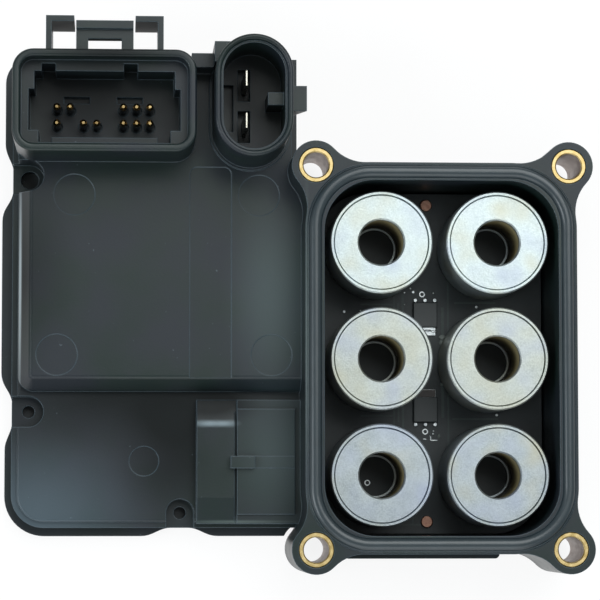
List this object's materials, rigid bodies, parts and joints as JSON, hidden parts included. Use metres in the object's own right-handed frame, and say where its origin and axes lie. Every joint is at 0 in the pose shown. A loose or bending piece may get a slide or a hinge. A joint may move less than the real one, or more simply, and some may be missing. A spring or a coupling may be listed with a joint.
{
  "type": "abs brake control module",
  "caption": "Electronic control half of an anti-lock brake unit: moulded housing with solenoid coils in an open frame, mounting ears and signal and motor connector shrouds.",
  "frame": {"origin": "middle of the four mounting holes, on the underside of the back cover", "axes": "+Z from the back cover towards the valve block, +Y towards the connector shrouds, +X from the connectors' side towards the coils"},
  "size_m": [0.1251, 0.1167, 0.038],
  "materials": {
    "housing_plastic": "moulded satin",
    "cover_plastic": "moulded satin",
    "sealant": "cured silicone",
    "seal_rubber": "moulded rubber",
    "brass": "turned",
    "board": "solder resist",
    "copper": "dull copper",
    "pin_metal": "gold plated",
    "blade_metal": "tin plated",
    "chip": "moulded epoxy",
    "capacitor": "drawn can",
    "small_metal": "tinned",
    "zinc_steel": "zinc plated",
    "bobbin_plastic": "moulded",
    "winding": "enamelled copper wire"
  },
  "bodies": {
    "root": {"housing": "housing_plastic", "cover_seal": "sealant", "back_cover": "cover_plastic", "mounting_seal": "seal_rubber", "bushing_1": "brass", "bushing_2": "brass", "bushing_3": "brass", "bushing_4": "brass", "circuit_board": "board", "board_rivets": "copper", "signal_pins": "pin_metal", "motor_blade_upper": "blade_metal", "motor_blade_lower": "blade_metal", "driver_chip_upper": "chip", "driver_chip_lower": "chip", "processor": "chip", "motor_transistor_1": "chip", "motor_transistor_2": "chip", "smoothing_capacitor": "capacitor", "small_parts": "small_metal", "coil_can_1": "zinc_steel", "coil_plate_1": "zinc_steel", "coil_bobbin_1": "bobbin_plastic", "coil_winding_1": "winding", "coil_pins_1": "small_metal", "coil_can_2": "zinc_steel", "coil_plate_2": "zinc_steel", "coil_bobbin_2": "bobbin_plastic", "coil_winding_2": "winding", "coil_pins_2": "small_metal", "coil_can_3": "zinc_steel", "coil_plate_3": "zinc_steel", "coil_bobbin_3": "bobbin_plastic", "coil_winding_3": "winding", "coil_pins_3": "small_metal", "coil_can_4": "zinc_steel", "coil_plate_4": "zinc_steel", "coil_bobbin_4": "bobbin_plastic", "coil_winding_4": "winding", "coil_pins_4": "small_metal", "coil_can_5": "zinc_steel", "coil_plate_5": "zinc_steel", "coil_bobbin_5": "bobbin_plastic", "coil_winding_5": "winding", "coil_pins_5": "small_metal", "coil_can_6": "zinc_steel", "coil_plate_6": "zinc_steel", "coil_bobbin_6": "bobbin_plastic", "coil_winding_6": "winding", "coil_pins_6": "small_metal"}
  },
  "joints": []
}
